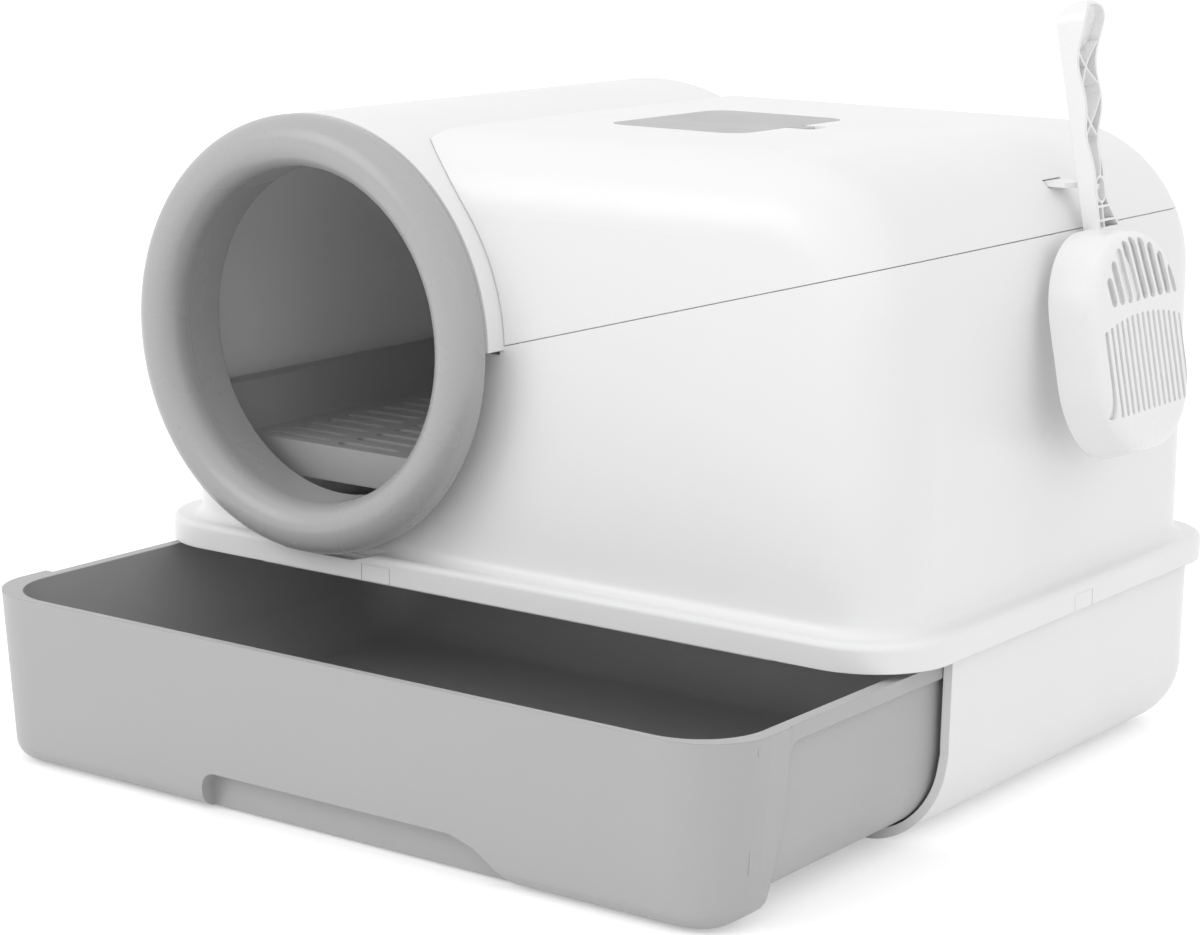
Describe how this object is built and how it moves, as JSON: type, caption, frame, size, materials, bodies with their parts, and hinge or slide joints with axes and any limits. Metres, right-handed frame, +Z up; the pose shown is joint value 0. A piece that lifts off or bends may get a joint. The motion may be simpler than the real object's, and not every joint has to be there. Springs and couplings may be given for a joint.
{
  "type": "drawer litter box",
  "caption": "Enclosed litter box for a cat with a round side entrance, a rear-hinged flip lid, a pull-out litter drawer, a filter under a cover in the top and a hanging scoop.",
  "frame": {"origin": "on the floor, under the centre of the hood's rim", "axes": "+X to the right along the front, +Y to the back, +Z up"},
  "size_m": [0.5937, 0.5445, 0.4558],
  "materials": {
    "white_shell": "satin moulded polypropylene",
    "white_scoop": "satin moulded polypropylene",
    "grey_drawer": "satin moulded polypropylene",
    "grey_ring": "satin moulded polypropylene",
    "grey_step": "fine matt texture",
    "grey_cover": "fine matt texture",
    "carbon_felt": "carbon filled felt"
  },
  "bodies": {
    "base": {"base_shell": "white_shell"},
    "drawer": {"drawer_tray": "grey_drawer"},
    "hood": {"hood_shell": "white_shell", "rim_latches": "white_shell", "entry_ring": "grey_ring", "entry_collar": "grey_ring", "entrance_step": "grey_step", "hinge_pins": "white_shell"},
    "lid": {"lid_shell": "white_shell", "filter_box": "grey_step", "carbon_filter": "carbon_felt", "scoop_hook": "white_scoop"},
    "filter_cover": {"filter_cover": "grey_cover"},
    "scoop": {"scoop": "white_scoop"}
  },
  "joints": [
    {"name": "drawer_slide", "type": "slide", "parent": "base", "child": "drawer", "axis": [0, -1, 0], "range_m": [-0.15, 0.1]},
    {"name": "hood_lift", "type": "slide", "parent": "base", "child": "hood", "axis": [0, 0, 1], "range_m": [0, 0.12]},
    {"name": "lid_hinge", "type": "hinge", "parent": "hood", "child": "lid", "pos_m": [0.125, 0.195, 0.33], "axis": [-1, 0, 0], "range_deg": [0, 95]},
    {"name": "filter_cover_lift", "type": "slide", "parent": "lid", "child": "filter_cover", "axis": [0, 0, 1], "range_m": [0, 0.04]},
    {"name": "scoop_off", "type": "slide", "parent": "lid", "child": "scoop", "axis": [1, 0, 0], "range_m": [0, 0.06]}
  ]
}
